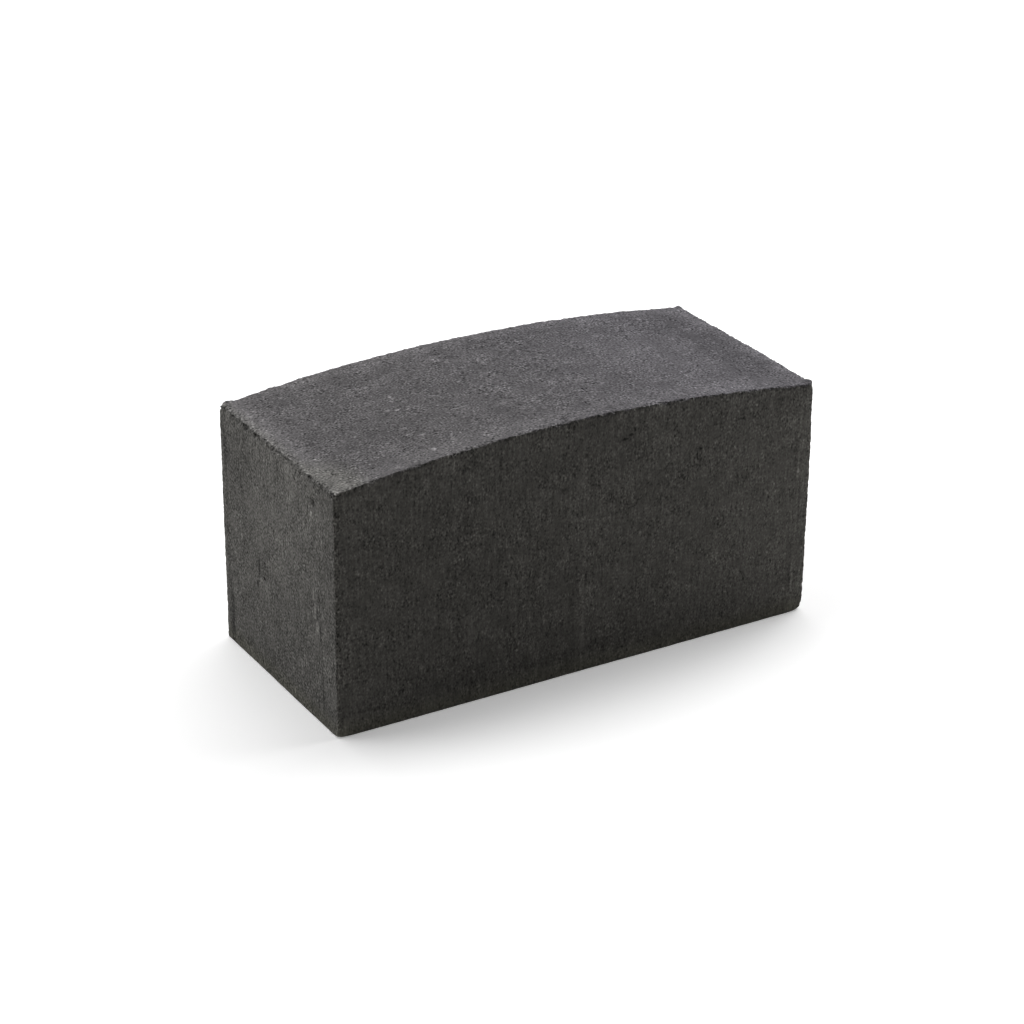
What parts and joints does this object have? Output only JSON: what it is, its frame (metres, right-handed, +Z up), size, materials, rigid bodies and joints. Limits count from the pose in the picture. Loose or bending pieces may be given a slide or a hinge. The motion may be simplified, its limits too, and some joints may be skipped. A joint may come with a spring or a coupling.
{
  "type": "concrete paver",
  "caption": "Solid rectangular concrete paver with a flat bed, upright sides and a top that arches gently along its length.",
  "frame": {"origin": "centre of the flat underside, which lies on z = 0", "axes": "+X along the length, +Y across the width, +Z up to the arched top; the long side seen in the picture faces -Y and the end seen in it faces -X"},
  "size_m": [0.2126, 0.095, 0.1075],
  "materials": {
    "concrete": "matt, fine sandy grain"
  },
  "bodies": {
    "root": {"paver": "concrete"}
  },
  "joints": []
}
